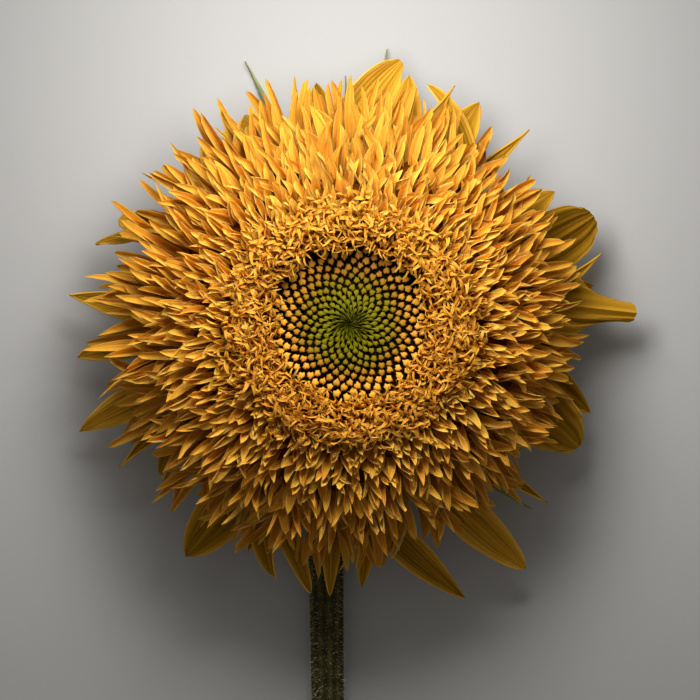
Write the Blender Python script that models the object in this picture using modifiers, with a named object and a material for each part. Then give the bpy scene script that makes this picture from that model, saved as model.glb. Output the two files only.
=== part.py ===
"""A double sunflower, cut and laid down on its back with its face up.

The head's axis is vertical. The stem leaves the middle of the back, bends over in the neck and
lies along the surface towards -Y. The receptacle carries everything else: the green bracts under
its rim, the ring of broad outer petals, the shoulder of petal-like florets, the ring of curled
tubular florets and the sunken disc.
"""

import math
import random
from dataclasses import dataclass

import bmesh
import bpy
from mathutils import Matrix, Vector
from mathutils.geometry import delaunay_2d_cdt

# Driving dimensions, in metres. Radii are from the head's axis, heights from the surface.
HEAD_REACH = 0.0757
DISC_RADIUS = 0.0225
DISC_HEIGHT = 0.0468
GREEN_RADIUS = 0.0135
TUBE_ZONE_RADIUS = 0.036
SHOULDER_RADIUS = 0.029
SHOULDER_HALF_WIDTH = 0.024
SHOULDER_HALF_HEIGHT = 0.022
SHOULDER_HEIGHT = 0.031
RECEPTACLE_RADIUS = 0.0395
RECEPTACLE_TOP = 0.038
RECEPTACLE_BOTTOM = 0.020
NECK_RADIUS = 0.0078
STEM_RADIUS = 0.0050
STEM_REACH = 0.240
STEM_OFFSET = 0.0073

# The slope of the receptacle's upper side, and the room between pieces that touch
RIM_SLOPE = 0.52
GAP = 0.0003

# How many of each repeat, and the angle from one to the next in a spiral
PETAL_COUNT = 222
TUBE_COUNT = 80
BUD_COUNT = 225
BRACT_COUNT = 26
GOLDEN_ANGLE = math.pi * (3 - math.sqrt(5))
TURNED_SIDES = 28
SEED = 11

# The broad outer petals: azimuth in degrees from +X, reach from the axis, width, height of
# the tip, slant in degrees away from straight out, sideways sway as a share of the length,
# and twist in degrees.
RAYS = (
    (2.2, 0.0857, 0.0120, 0.0130, -8, 0.00, 0),
    (9, 0.0738, 0.0110, 0.0120, 2, 0.02, -10),
    (15.7, 0.0776, 0.0050, 0.0180, 18, 0.12, 20),
    (24, 0.0797, 0.0190, 0.0125, 5, 0.10, 6),
    (33, 0.0730, 0.0110, 0.0120, -2, 0.04, -12),
    (47.3, 0.0785, 0.0050, 0.0170, -8, 0.04, 20),
    (59.8, 0.0764, 0.0125, 0.0150, -4, 0.04, 10),
    (66.3, 0.0772, 0.0050, 0.0170, -12, 0.02, 30),
    (71.5, 0.0745, 0.0070, 0.0160, 30, 0.45, 30),
    (76.6, 0.0760, 0.0120, 0.0150, 6, 0.02, -8),
    (80, 0.0800, 0.0160, 0.0125, -13, -0.28, 18),
    (98, 0.0730, 0.0100, 0.0110, -3, 0.04, -8),
    (122, 0.0715, 0.0125, 0.0110, 8, 0.12, 12),
    (150, 0.0700, 0.0100, 0.0120, -6, -0.10, -20),
    (163.5, 0.0797, 0.0090, 0.0120, 20, 0.16, 50),
    (174, 0.0845, 0.0090, 0.0130, -4, -0.03, -8),
    (187, 0.0824, 0.0100, 0.0120, 6, 0.05, 10),
    (201.7, 0.0873, 0.0110, 0.0110, 5, 0.06, -10),
    (212, 0.0814, 0.0060, 0.0120, 8, 0.06, 34),
    (223, 0.0765, 0.0060, 0.0120, 14, 0.30, 40),
    (234.8, 0.0854, 0.0170, 0.0110, -6, 0.05, -6),
    (246, 0.0750, 0.0085, 0.0130, 4, 0.03, 10),
    (252.7, 0.0770, 0.0110, 0.0150, 30, 0.05, 20),
    (261.8, 0.0809, 0.0120, 0.0150, 20, 0.02, -10),
    (265.8, 0.0807, 0.0105, 0.0165, 2, 0.02, -6),
    (272.5, 0.0786, 0.0090, 0.0160, -6, -0.04, 10),
    (293, 0.0893, 0.0110, 0.0110, 22, 0.12, -16),
    (305.8, 0.0905, 0.0130, 0.0105, 10, 0.05, 8),
    (318, 0.0800, 0.0055, 0.0110, 6, 0.10, -28),
    (333, 0.0778, 0.0175, 0.0120, -8, -0.12, 12),
    (339.5, 0.0768, 0.0105, 0.0130, -14, -0.10, -20),
)

# The bracts whose tips show past the petals: azimuth in degrees, reach from the axis, sway
LONG_BRACTS = (
    (108, 0.0870, 0.10),
    (90, 0.0750, 0.03),
    (83, 0.0850, -0.02),
    (307, 0.0795, 0.21),
)

# The two bracts that the head rests on, with the stem as the third point of rest
RESTING_BRACTS = (38, 142)


@dataclass
class Blade:
    """How one petal or bract grows from its root. Angles are in radians.

    pitch is its slope at the root and bend how far that turns up by the tip. yaw turns it away
    from straight out. sway is how far the tip lies to the side, as a share of the length. cup
    lifts the edges, as a share of the half width.
    """

    azimuth: float
    radius: float
    height: float
    pitch: float
    length: float
    width: float
    thickness: float = 0.0013
    bend: float = 0.0
    yaw: float = 0.0
    sway: float = 0.0
    twist: float = 0.0
    cup: float = 0.2


def polar(radius, azimuth, height=0.0):
    return Vector((radius * math.cos(azimuth), radius * math.sin(azimuth), height))


def shoulder(angle):
    """Radius and height on the rounded section that the outer florets stand on."""
    radius = SHOULDER_RADIUS + SHOULDER_HALF_WIDTH * math.cos(angle)
    height = SHOULDER_HEIGHT + SHOULDER_HALF_HEIGHT * math.sin(angle)
    return radius, height


def shoulder_angle(radius):
    """Where on the upper side of the shoulder that radius is."""
    return math.acos((radius - SHOULDER_RADIUS) / SHOULDER_HALF_WIDTH)


def receptacle_top(radius):
    """Height of the receptacle's upper side: flat under the disc, then a slope to the rim."""
    return RECEPTACLE_TOP - RIM_SLOPE * max(0.0, radius - DISC_RADIUS)


def new_collection(name):
    made = bpy.data.collections.new(name)
    bpy.context.scene.collection.children.link(made)
    return made


def new_object(name, data, collection):
    made = bpy.data.objects.new(name, data)
    collection.objects.link(made)
    return made


def as_mesh_object(source):
    """The evaluated form of an object as a plain mesh, welded and facing out, in its place."""
    bpy.context.view_layer.update()
    graph = bpy.context.evaluated_depsgraph_get()
    mesh = bpy.data.meshes.new_from_object(source.evaluated_get(graph))
    form = bmesh.new()
    form.from_mesh(mesh)
    bmesh.ops.remove_doubles(form, verts=form.verts, dist=1e-6)
    bmesh.ops.recalc_face_normals(form, faces=form.faces)
    form.to_mesh(mesh)
    form.free()
    name = source.name
    made = new_object(name, mesh, source.users_collection[0])
    made.matrix_world = source.matrix_world
    bpy.data.objects.remove(source)
    made.name = name
    return made


def turned(name, profile, is_ring, collection):
    """A profile of (radius, height) points turned round the head's axis."""
    last = len(profile) - 1
    edges = [(index, index + 1) for index in range(last)]
    if is_ring:
        edges.append((last, 0))
    mesh = bpy.data.meshes.new(name)
    mesh.from_pydata([(radius, 0, height) for radius, height in profile], edges, [])
    blank = new_object(name, mesh, collection)
    screw = blank.modifiers.new("Turn", "SCREW")
    screw.steps = TURNED_SIDES
    screw.render_steps = TURNED_SIDES
    screw.use_merge_vertices = True
    screw.merge_threshold = 1e-5
    return as_mesh_object(blank)


def joined(core, pieces):
    """The core and every piece in the collection as one solid. The collection is removed."""
    union = core.modifiers.new("Join", "BOOLEAN")
    union.operation = "UNION"
    union.solver = "MANIFOLD"
    union.operand_type = "COLLECTION"
    union.collection = pieces
    whole = as_mesh_object(core)
    for piece in list(pieces.objects):
        bpy.data.objects.remove(piece)
    bpy.data.collections.remove(pieces)
    return whole


def blade_template(rows):
    """A four-sided spike from height 0 to 1, with a ring of corners at each row.

    Its corners lie at +-X, the blade's edges, and at +-Y, its two faces. Each side is split
    from its lower edge corner, alike on both faces, so that a thin blade never crosses itself.
    """
    spike = bmesh.new()
    lifted = Matrix.Translation((0, 0, 0.5))
    bmesh.ops.create_cone(
        spike, cap_ends=True, segments=4, radius1=1, radius2=0, depth=1, matrix=lifted
    )
    for row in rows:
        whole = spike.verts[:] + spike.edges[:] + spike.faces[:]
        bmesh.ops.bisect_plane(spike, geom=whole, plane_co=(0, 0, row), plane_no=(0, 0, 1))
    for face in spike.faces[:]:
        upright = abs(face.normal.z) < 0.9
        if len(face.verts) != 4 or not upright:
            continue
        edge_corners = [corner for corner in face.verts if abs(corner.co.x) > abs(corner.co.y)]
        low_edge = min(edge_corners, key=lambda corner: corner.co.z)
        place = list(face.verts).index(low_edge)
        bmesh.utils.face_split(face, low_edge, face.verts[(place + 2) % 4])
    mesh = bpy.data.meshes.new("blade")
    spike.to_mesh(mesh)
    spike.free()
    return mesh


def petal_outline(along):
    """Half width as a share of a petal's widest: a narrow foot, a full middle, a point."""
    if along < 0.5:
        return 0.5 + 0.5 * math.sin(math.pi * along)
    return math.cos(math.pi * (along - 0.5)) ** 0.75


def bract_outline(along):
    """A bract is broad near its foot and draws out to a long thin tip."""
    return (1 - along) ** 0.8 * (0.8 + 0.9 * along)


def grow(blade, template, outline, pieces, floor=None):
    """Bends a copy of the template into the blade, and keeps it above the floor height."""
    mesh = template.copy()
    outward = polar(1, blade.azimuth + blade.yaw)
    sideways = polar(1, blade.azimuth + blade.yaw + math.pi / 2)
    upward = Vector((0, 0, 1))
    root = polar(blade.radius, blade.azimuth, blade.height)
    for vertex in mesh.vertices:
        along = min(vertex.co.z, 1.0)
        side = 0.0
        face = 0.0
        if along < 0.999:
            side = vertex.co.x / (1 - along)
            face = vertex.co.y / (1 - along)
        turn = blade.bend * along
        chord = blade.pitch + turn / 2
        run = blade.length * along * (1 - turn * turn / 24)
        centre = root + run * (math.cos(chord) * outward + math.sin(chord) * upward)
        centre += blade.sway * blade.length * along * along * sideways
        slope = blade.pitch + turn
        normal = math.cos(slope) * upward - math.sin(slope) * outward
        spin = blade.twist * along
        across = math.cos(spin) * sideways + math.sin(spin) * normal
        facing = math.cos(spin) * normal - math.sin(spin) * sideways
        half_width = blade.width / 2 * outline(along)
        half_thickness = blade.thickness / 2 * (1 - 0.35 * along)
        lift = blade.cup * half_width * abs(side) + half_thickness * face
        vertex.co = centre + side * half_width * across + lift * facing
        if floor is not None:
            vertex.co.z = max(vertex.co.z, floor)
    new_object("blade", mesh, pieces)


def build_stem(collection):
    """The stalk on the surface, the bent neck and its flare under the receptacle."""
    neck_steps = 9
    stem_steps = 16
    sway = 0.0035
    pressed = 0.0002
    top = RECEPTACLE_BOTTOM - GAP
    lying = STEM_RADIUS - pressed
    bend = top - lying
    easing = 2.6 * bend
    route = []
    for step in range(neck_steps + 1):
        share = step / neck_steps
        turn = math.pi / 2 * share
        point = Vector((0, bend * (math.cos(turn) - 1), top - bend * math.sin(turn)))
        radius = NECK_RADIUS + (STEM_RADIUS - NECK_RADIUS) * min(1, 1.15 * share)
        route.append((point, radius))
    for step in range(1, stem_steps + 1):
        share = step / stem_steps
        reach = bend + share * (STEM_REACH - bend)
        ease = min(1, (reach - bend) / easing)
        aside = -STEM_OFFSET * ease * ease * (3 - 2 * ease) + sway * share * share
        radius = STEM_RADIUS * (1 + 0.05 * math.sin(9 * share))
        route.append((Vector((aside, -reach, lying)), radius))
    curve = bpy.data.curves.new("stem", "CURVE")
    curve.dimensions = "3D"
    curve.bevel_depth = 1
    curve.bevel_resolution = 2
    curve.use_fill_caps = True
    spline = curve.splines.new("POLY")
    spline.points.add(len(route) - 1)
    for knot, (point, radius) in zip(spline.points, route):
        knot.co = (*point, 1)
        knot.radius = radius
    stem = as_mesh_object(new_object("stem", curve, collection))
    for vertex in stem.data.vertices:
        vertex.co.z = min(max(vertex.co.z, 0), top)
    return stem


def build_receptacle(collection):
    """The fleshy plate under the florets: a shallow cup with a sloped rim."""
    rim = receptacle_top(RECEPTACLE_RADIUS)
    profile = [
        (0, RECEPTACLE_TOP),
        (DISC_RADIUS, RECEPTACLE_TOP),
        (RECEPTACLE_RADIUS, rim),
        (RECEPTACLE_RADIUS, rim - 0.003),
        (0.034, 0.0235),
        (0.022, 0.0208),
        (0.009, RECEPTACLE_BOTTOM),
        (0, RECEPTACLE_BOTTOM),
    ]
    return turned("involucre", profile, False, collection)


def build_involucre(collection, draw):
    """The receptacle with the green bracts that grow from its underside in two rows."""
    receptacle = build_receptacle(collection)
    template = blade_template((0.35, 0.72))
    pieces = new_collection("bracts")
    width = 0.0135
    thickness = 0.0014
    lowest = 0.0008
    stem_side = 0.36
    for index in range(BRACT_COUNT):
        azimuth = index * GOLDEN_ANGLE
        is_upper = index < BRACT_COUNT / 2
        over_stem = abs(math.cos(azimuth)) < stem_side and math.sin(azimuth) < 0
        length = draw.uniform(0.034, 0.041)
        pitch = draw.uniform(-26, -21) if is_upper else draw.uniform(-31, -26)
        bend = draw.uniform(-20, -8)
        if over_stem:
            pitch = -13 if is_upper else -16
            bend = -4
        bract = Blade(
            azimuth=azimuth,
            radius=0.031 if is_upper else 0.025,
            height=0.0246 if is_upper else 0.0226,
            pitch=math.radians(pitch),
            length=length,
            width=width,
            thickness=thickness,
            bend=math.radians(bend),
            sway=draw.uniform(-0.06, 0.06),
            twist=draw.uniform(-0.2, 0.2),
            cup=0.12,
        )
        grow(bract, template, bract_outline, pieces, lowest)
    for degrees, reach, sway in LONG_BRACTS:
        bract = Blade(
            azimuth=math.radians(degrees),
            radius=0.029,
            height=0.0235,
            pitch=math.radians(-34),
            length=reach - 0.025,
            width=0.0065,
            thickness=thickness,
            bend=math.radians(22),
            sway=sway,
            twist=0.1,
            cup=0.12,
        )
        grow(bract, template, bract_outline, pieces, lowest)
    for degrees in RESTING_BRACTS:
        bract = Blade(
            azimuth=math.radians(degrees),
            radius=0.030,
            height=0.0235,
            pitch=math.radians(-47),
            length=0.040,
            width=width,
            thickness=0.0016,
            bend=math.radians(26),
            sway=0.03,
            cup=0.05,
        )
        grow(bract, template, bract_outline, pieces, 0.0)
    return joined(receptacle, pieces)


def build_ray_petals(collection):
    """The broad petals of the outermost circle, on the ring that they grow from."""
    inner = RECEPTACLE_RADIUS + GAP
    outer = 0.0435
    low = 0.0240
    high = 0.0269
    profile = [(outer, high), (outer, low), (inner, low), (inner, high)]
    ring = turned("ray_petals", profile, True, collection)
    template = blade_template((0.25, 0.55, 0.82))
    pieces = new_collection("rays")
    root_radius = (inner + outer) / 2
    root_height = (low + high) / 2
    for degrees, reach, width, tip_height, slant, sway, twist in RAYS:
        heading = math.radians(degrees + slant)
        across = reach * math.sin(math.radians(slant))
        run = reach * math.cos(math.radians(slant)) - math.sqrt(root_radius**2 - across**2)
        root = polar(reach, math.radians(degrees)) - polar(run, heading)
        azimuth = math.atan2(root.y, root.x)
        drop = root_height - tip_height
        petal = Blade(
            azimuth=azimuth,
            radius=root_radius,
            height=root_height,
            pitch=math.radians(6) - math.atan2(drop, run),
            length=math.hypot(run, drop),
            width=width,
            bend=math.radians(-12),
            yaw=heading - azimuth - sway,
            sway=sway,
            twist=math.radians(twist),
            cup=0.18,
        )
        grow(petal, template, petal_outline, pieces)
    return joined(ring, pieces)


def build_petal_florets(collection, draw):
    """The petal-like florets, in a spiral down the shoulder of the head."""
    inner = TUBE_ZONE_RADIUS + GAP
    rim = RECEPTACLE_RADIUS + GAP
    under_height = 0.0272
    top_angle = shoulder_angle(inner)
    low_angle = math.radians(-10)
    arc_steps = 6
    arc = []
    for step in range(arc_steps + 1):
        arc.append(shoulder(top_angle + (low_angle - top_angle) * step / arc_steps))
    under = [
        (0.048, under_height),
        (rim, under_height),
        (rim, receptacle_top(RECEPTACLE_RADIUS) + GAP),
        (inner, receptacle_top(inner) + GAP),
    ]
    core = turned("petal_florets", arc + under, True, collection)
    short_template = blade_template((0.5,))
    long_template = blade_template((0.4, 0.75))
    pieces = new_collection("petals")
    sunk = 0.003
    shortest = 0.0095
    longest = HEAD_REACH - SHOULDER_RADIUS - SHOULDER_HALF_WIDTH
    first_angle = top_angle - math.radians(5)
    last_angle = low_angle + math.radians(5)
    for index in range(PETAL_COUNT):
        share = (index + 0.5) / PETAL_COUNT
        azimuth = index * GOLDEN_ANGLE + draw.uniform(-0.02, 0.02)
        radius, height = shoulder(first_angle + (last_angle - first_angle) * share)
        pitch = math.radians(62 - 76 * share + draw.uniform(-5, 5))
        width = 0.0052 + 0.0018 * share
        # The head isn't quite round: it reaches further to the left.
        uneven = share * (-0.0046 * math.cos(azimuth) - 0.0004 * math.sin(azimuth))
        free = shortest + (longest - shortest) * share + draw.uniform(-0.0012, 0.0012) + uneven
        petal = Blade(
            azimuth=azimuth,
            radius=max(radius - sunk * math.cos(pitch), inner + width / 4),
            height=height - sunk * math.sin(pitch),
            pitch=pitch,
            length=free + sunk,
            width=width,
            bend=math.radians(draw.uniform(-14, 2) - 6 * (1 - share)),
            sway=draw.uniform(-0.08, 0.08),
            twist=math.radians(draw.uniform(-24, 24)),
            cup=0.22,
        )
        template = short_template if share < 0.5 else long_template
        grow(petal, template, petal_outline, pieces)
    return joined(core, pieces)


def tube_template():
    """A six-sided flaring cup of unit height, with a hollow mouth and three curled lobes."""
    cup = bmesh.new()
    lifted = Matrix.Translation((0, 0, 0.5))
    bmesh.ops.create_cone(
        cup, cap_ends=True, segments=6, radius1=0.42, radius2=1, depth=1, matrix=lifted
    )
    mouth = max(cup.faces, key=lambda face: face.calc_center_median().z)
    rim = list(mouth.verts)
    bmesh.ops.poke(cup, faces=[mouth], offset=-0.42)
    for index, corner in enumerate(rim):
        is_lobe = index % 2 == 0
        spread = 1.25 if is_lobe else 0.66
        corner.co.x *= spread
        corner.co.y *= spread
        corner.co.z += 0.04 if is_lobe else -0.16
    mesh = bpy.data.meshes.new("tube")
    cup.to_mesh(mesh)
    cup.free()
    return mesh


def tube_bed(radius):
    """Height of the ring that the tubular florets stand on, which falls away to the disc."""
    lip_width = 0.0045
    lip_drop = 0.0036
    edge = max(0, 1 - (radius - DISC_RADIUS) / lip_width)
    return shoulder(shoulder_angle(radius))[1] - lip_drop * edge * edge


def build_tube_florets(collection, draw):
    """The curled tubular florets, a ring that leans over the disc on its inner side."""
    inner = DISC_RADIUS + GAP
    bed_radii = (inner, 0.0242, 0.0262, 0.031, TUBE_ZONE_RADIUS)
    bed = [(radius, tube_bed(radius)) for radius in bed_radii]
    under = [
        (TUBE_ZONE_RADIUS, receptacle_top(TUBE_ZONE_RADIUS) + GAP),
        (inner, receptacle_top(inner) + GAP),
    ]
    core = turned("tube_florets", bed + under, True, collection)
    template = tube_template()
    pieces = new_collection("tubes")
    first = (inner + 0.0007) ** 2
    last = (TUBE_ZONE_RADIUS - 0.0013) ** 2
    sunk = 0.002
    for index in range(TUBE_COUNT):
        share = (index + 0.5) / TUBE_COUNT
        radius = math.sqrt(first + (last - first) * share)
        pitch = math.radians(130 - 72 * math.sqrt(share) + draw.uniform(-5, 5))
        tall = draw.uniform(0.0060, 0.0074) + sunk
        mouth = draw.uniform(0.0022, 0.0025)
        azimuth = Matrix.Rotation(index * GOLDEN_ANGLE, 4, "Z")
        root = Matrix.Translation((radius, 0, tube_bed(radius)))
        lean = Matrix.Rotation(math.pi / 2 - pitch, 4, "Y")
        sink = Matrix.Translation((0, 0, -sunk))
        spin = Matrix.Rotation(draw.uniform(0, math.tau), 4, "Z")
        size = Matrix.Diagonal((mouth, mouth, tall, 1))
        mesh = template.copy()
        mesh.transform(azimuth @ root @ lean @ sink @ spin @ size)
        new_object("tube", mesh, pieces)
    return joined(core, pieces)


def disc_surface(radius):
    """Height of the disc before its relief: a shallow cushion with a dimple in its middle."""
    crown = 0.0012
    dimple_depth = 0.0026
    dimple_radius = 0.0042
    share = radius / DISC_RADIUS
    dimple = dimple_depth * math.exp(-((radius / dimple_radius) ** 2))
    return DISC_HEIGHT + crown * (1 - share * share) - dimple


def circle_points(radius, spacing):
    count = 4 * round(math.tau * radius / spacing / 4)
    return [polar(radius, math.tau * step / count).to_2d() for step in range(count)]


def middle_of(points, triangle):
    return sum((points[index] for index in triangle), Vector((0, 0))) / 3


def build_disc_part(name, inner, outer, buds, collection):
    """The disc from one radius to another, as a relief with a peak at each bud.

    The first triangulation joins the buds. The middle of each of its triangles becomes a
    valley, and the second one joins buds, valleys and rim.
    """
    bud_rise = 0.0016
    rim_spacing = 0.0024
    rim = []
    edges = []
    for radius in (inner, outer):
        if radius == 0:
            continue
        circle = circle_points(radius, rim_spacing)
        first = len(rim)
        for step in range(len(circle)):
            edges.append((first + step, first + (step + 1) % len(circle)))
        rim += circle
    points, _, triangles, *_ = delaunay_2d_cdt(rim + buds, edges, [], 0, 1e-7)
    middles = [middle_of(points, triangle) for triangle in triangles]
    valleys = [middle for middle in middles if inner < middle.length < outer]
    points, _, triangles, origins, *_ = delaunay_2d_cdt(rim + buds + valleys, edges, [], 0, 1e-7)
    relief = bmesh.new()
    corners = []
    for point, origin in zip(points, origins):
        height = disc_surface(point.length)
        if len(rim) <= origin[0] < len(rim) + len(buds):
            height += bud_rise * (0.55 + 0.45 * point.length / DISC_RADIUS)
        else:
            height -= bud_rise * 0.6
        corners.append(relief.verts.new((point.x, point.y, height)))
    for triangle in triangles:
        if middle_of(points, triangle).length > inner * 0.99:
            relief.faces.new([corners[index] for index in triangle])
    raised = bmesh.ops.extrude_face_region(relief, geom=relief.faces[:])
    for item in raised["geom"]:
        if isinstance(item, bmesh.types.BMVert):
            item.co.z = RECEPTACLE_TOP + GAP
    loose = [corner for corner in relief.verts if not corner.link_faces]
    bmesh.ops.delete(relief, geom=loose, context="VERTS")
    nearly_flat = math.radians(1)
    bmesh.ops.dissolve_limit(
        relief, angle_limit=nearly_flat, verts=relief.verts, edges=relief.edges
    )
    bmesh.ops.triangulate(relief, faces=relief.faces)
    bmesh.ops.recalc_face_normals(relief, faces=relief.faces)
    mesh = bpy.data.meshes.new(name)
    relief.to_mesh(mesh)
    relief.free()
    return new_object(name, mesh, collection)


def build_disc(collection):
    """The green middle of the disc and the golden ring of closed buds round it."""
    margin = 0.0008
    ring_inner = GREEN_RADIUS + GAP
    middle_buds = []
    ring_buds = []
    for index in range(BUD_COUNT):
        radius = (DISC_RADIUS - margin) * math.sqrt((index + 0.6) / BUD_COUNT)
        bud = polar(radius, index * GOLDEN_ANGLE).to_2d()
        if radius < GREEN_RADIUS - margin:
            middle_buds.append(bud)
        elif radius > ring_inner + margin:
            ring_buds.append(bud)
    centre = build_disc_part("disc_centre", 0, GREEN_RADIUS, middle_buds, collection)
    ring = build_disc_part("disc_buds", ring_inner, DISC_RADIUS, ring_buds, collection)
    return centre, ring


def finish(piece, material_name, colour, roughness, holder):
    """Gives a piece its material and hangs it on the flower's holder."""
    material = bpy.data.materials.new(material_name)
    material.use_nodes = True
    shader = material.node_tree.nodes["Principled BSDF"]
    shader.inputs["Base Color"].default_value = (*colour, 1)
    shader.inputs["Roughness"].default_value = roughness
    shader.inputs["Metallic"].default_value = 0
    piece.data.materials.clear()
    piece.data.materials.append(material)
    piece.data.name = piece.name
    piece.parent = holder


for startup_object in list(bpy.data.objects):
    bpy.data.objects.remove(startup_object)

parts = new_collection("sunflower")
chance = random.Random(SEED)
stem = build_stem(parts)
involucre = build_involucre(parts, chance)
ray_petals = build_ray_petals(parts)
petal_florets = build_petal_florets(parts, chance)
tube_florets = build_tube_florets(parts, chance)
disc_centre, disc_buds = build_disc(parts)

# The holder puts the origin in the middle of the flower's box, on the surface that it lies on.
corners = [corner.co for piece in parts.objects for corner in piece.data.vertices]
middle_x = (min(corner.x for corner in corners) + max(corner.x for corner in corners)) / 2
middle_y = (min(corner.y for corner in corners) + max(corner.y for corner in corners)) / 2
flower = new_object("sunflower", None, parts)
flower.location = (-middle_x, -middle_y, 0)

finish(stem, "stem_green", (0.07, 0.09, 0.03), 0.8, flower)
finish(involucre, "bract_green", (0.10, 0.14, 0.03), 0.7, flower)
finish(ray_petals, "ray_yellow", (0.72, 0.38, 0.03), 0.6, flower)
finish(petal_florets, "petal_yellow", (0.80, 0.42, 0.03), 0.6, flower)
finish(tube_florets, "floret_yellow", (0.85, 0.46, 0.04), 0.6, flower)
finish(disc_buds, "bud_gold", (0.42, 0.20, 0.03), 0.6, flower)
finish(disc_centre, "disc_green", (0.16, 0.15, 0.02), 0.6, flower)
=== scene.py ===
"""A double sunflower, cut and laid down on its back, seen from above in soft studio light.

The sections follow the flower as it is put together: the stem with its neck, the receptacle
with its bracts, the broad outer petals, the petal-like florets, the curled tubular florets and
the two parts of the disc. The floor, the lights and the camera come last.
"""

import math
import random
from dataclasses import dataclass
from functools import partialmethod

import bmesh
import bpy
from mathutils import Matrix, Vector


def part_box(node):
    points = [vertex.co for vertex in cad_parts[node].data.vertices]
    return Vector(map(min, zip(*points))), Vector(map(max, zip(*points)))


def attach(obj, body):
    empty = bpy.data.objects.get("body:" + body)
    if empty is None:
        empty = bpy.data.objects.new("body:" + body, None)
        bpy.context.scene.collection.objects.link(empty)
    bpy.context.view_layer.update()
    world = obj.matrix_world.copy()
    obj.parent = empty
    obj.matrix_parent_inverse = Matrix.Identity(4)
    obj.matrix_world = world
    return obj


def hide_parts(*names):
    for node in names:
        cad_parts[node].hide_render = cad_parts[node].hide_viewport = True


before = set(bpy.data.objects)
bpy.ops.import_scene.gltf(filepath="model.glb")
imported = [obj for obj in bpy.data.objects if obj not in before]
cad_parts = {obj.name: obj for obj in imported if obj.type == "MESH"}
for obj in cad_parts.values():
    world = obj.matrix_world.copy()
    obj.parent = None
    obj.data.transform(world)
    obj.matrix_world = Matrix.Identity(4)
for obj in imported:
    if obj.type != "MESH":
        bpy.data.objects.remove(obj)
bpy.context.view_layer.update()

# The stem: one hairy green stalk, cut off square at its lower end. It lies on the surface and
# bends up in the neck to the middle of the receptacle. Geometry Nodes sweep its ridged section
# along the route and set the stiff pale hairs on its skin.

disc_low, disc_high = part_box("disc_buds")
HEAD_X = (disc_low.x + disc_high.x) / 2
HEAD_Y = (disc_low.y + disc_high.y) / 2

RECEPTACLE_BOTTOM = 0.020
NECK_RADIUS = 0.0078
STEM_RADIUS = 0.0050
STEM_REACH = 0.240
STEM_OFFSET = 0.0073
GAP = 0.0003  # between two pieces that lie on each other
SHARP_ANGLE = math.radians(55)


def feed(slot, value):
    """Links a flow to a node's input, or sets the input to a plain value."""
    if isinstance(value, Flow):
        slot.id_data.links.new(value.socket, slot)
    else:
        slot.default_value = value


def node(tree, kind, inputs=None, **settings):
    """A new node with its settings made and its inputs, by name or number, fed."""
    made = tree.nodes.new(kind)
    for setting, value in settings.items():
        setattr(made, setting, value)
    for slot, value in (inputs or {}).items():
        feed(made.inputs[slot], value)
    return made


def output_of(tree, kind, inputs=None, output=0, **settings):
    """What a new node puts out, as a flow."""
    return Flow(node(tree, kind, inputs, **settings).outputs[output])


class Flow:
    """A value inside a node tree. Each sign used on it adds the node that works it out."""

    def __init__(self, socket):
        self.socket = socket
        self.tree = socket.id_data

    def work(self, operation, *others):
        values = dict(enumerate((self, *others)))
        return output_of(self.tree, "ShaderNodeMath", values, operation=operation)

    __add__ = __radd__ = partialmethod(work, "ADD")
    __mul__ = __rmul__ = partialmethod(work, "MULTIPLY")
    __sub__ = partialmethod(work, "SUBTRACT")
    __truediv__ = partialmethod(work, "DIVIDE")
    __pow__ = partialmethod(work, "POWER")
    sine = partialmethod(work, "SINE")
    cosine = partialmethod(work, "COSINE")
    size = partialmethod(work, "ABSOLUTE")
    power_of_e = partialmethod(work, "EXPONENT")
    at_least = partialmethod(work, "MAXIMUM")
    at_most = partialmethod(work, "MINIMUM")
    above = partialmethod(work, "GREATER_THAN")
    below = partialmethod(work, "LESS_THAN")

    def __rsub__(self, other):
        return self * -1 + other


def parts_of(vector):
    """The three parts of a vector flow."""
    split = node(vector.tree, "ShaderNodeSeparateXYZ", {0: vector})
    return [Flow(socket) for socket in split.outputs]


def vector_of(x, y, z):
    """A vector flow from three parts, at least one of them a flow."""
    tree = next(part.tree for part in (x, y, z) if isinstance(part, Flow))
    return output_of(tree, "ShaderNodeCombineXYZ", {0: x, 1: y, 2: z})


def new_tree(name, sizes):
    """A Geometry Nodes tree with one input for each size, and those inputs as flows."""
    tree = bpy.data.node_groups.new(name, "GeometryNodeTree")
    tree.interface.new_socket("Geometry", in_out="INPUT", socket_type="NodeSocketGeometry")
    for label, value in sizes.items():
        kind = "NodeSocketInt" if isinstance(value, int) else "NodeSocketFloat"
        tree.interface.new_socket(label, in_out="INPUT", socket_type=kind)
    tree.interface.new_socket("Geometry", in_out="OUTPUT", socket_type="NodeSocketGeometry")
    entry = tree.nodes.new("NodeGroupInput")
    return tree, {socket.name: Flow(socket) for socket in entry.outputs if socket.name}


def stored(geometry, name, value, domain="POINT"):
    """The geometry with a value kept on it under a name, for later nodes and for materials."""
    inputs = {"Geometry": geometry, "Name": name, "Value": value}
    return output_of(geometry.tree, "GeometryNodeStoreNamedAttribute", inputs, domain=domain)


def moved(geometry, position):
    inputs = {"Geometry": geometry, "Position": position}
    return output_of(geometry.tree, "GeometryNodeSetPosition", inputs)


def dressed(geometry, material, **where):
    inputs = {"Geometry": geometry, "Material": material, **where}
    return output_of(geometry.tree, "GeometryNodeSetMaterial", inputs)


def realized(geometry):
    return output_of(geometry.tree, "GeometryNodeRealizeInstances", {0: geometry})


def close_tree(tree, *parts):
    """The tree, once the parts are joined into its output."""
    join = tree.nodes.new("GeometryNodeJoinGeometry")
    for part in parts:
        feed(join.inputs[0], part)
    tree.links.new(join.outputs[0], tree.nodes.new("NodeGroupOutput").inputs[0])
    return tree


def new_object(name, data):
    made = bpy.data.objects.new(name, data)
    bpy.context.scene.collection.objects.link(made)
    return made


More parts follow.
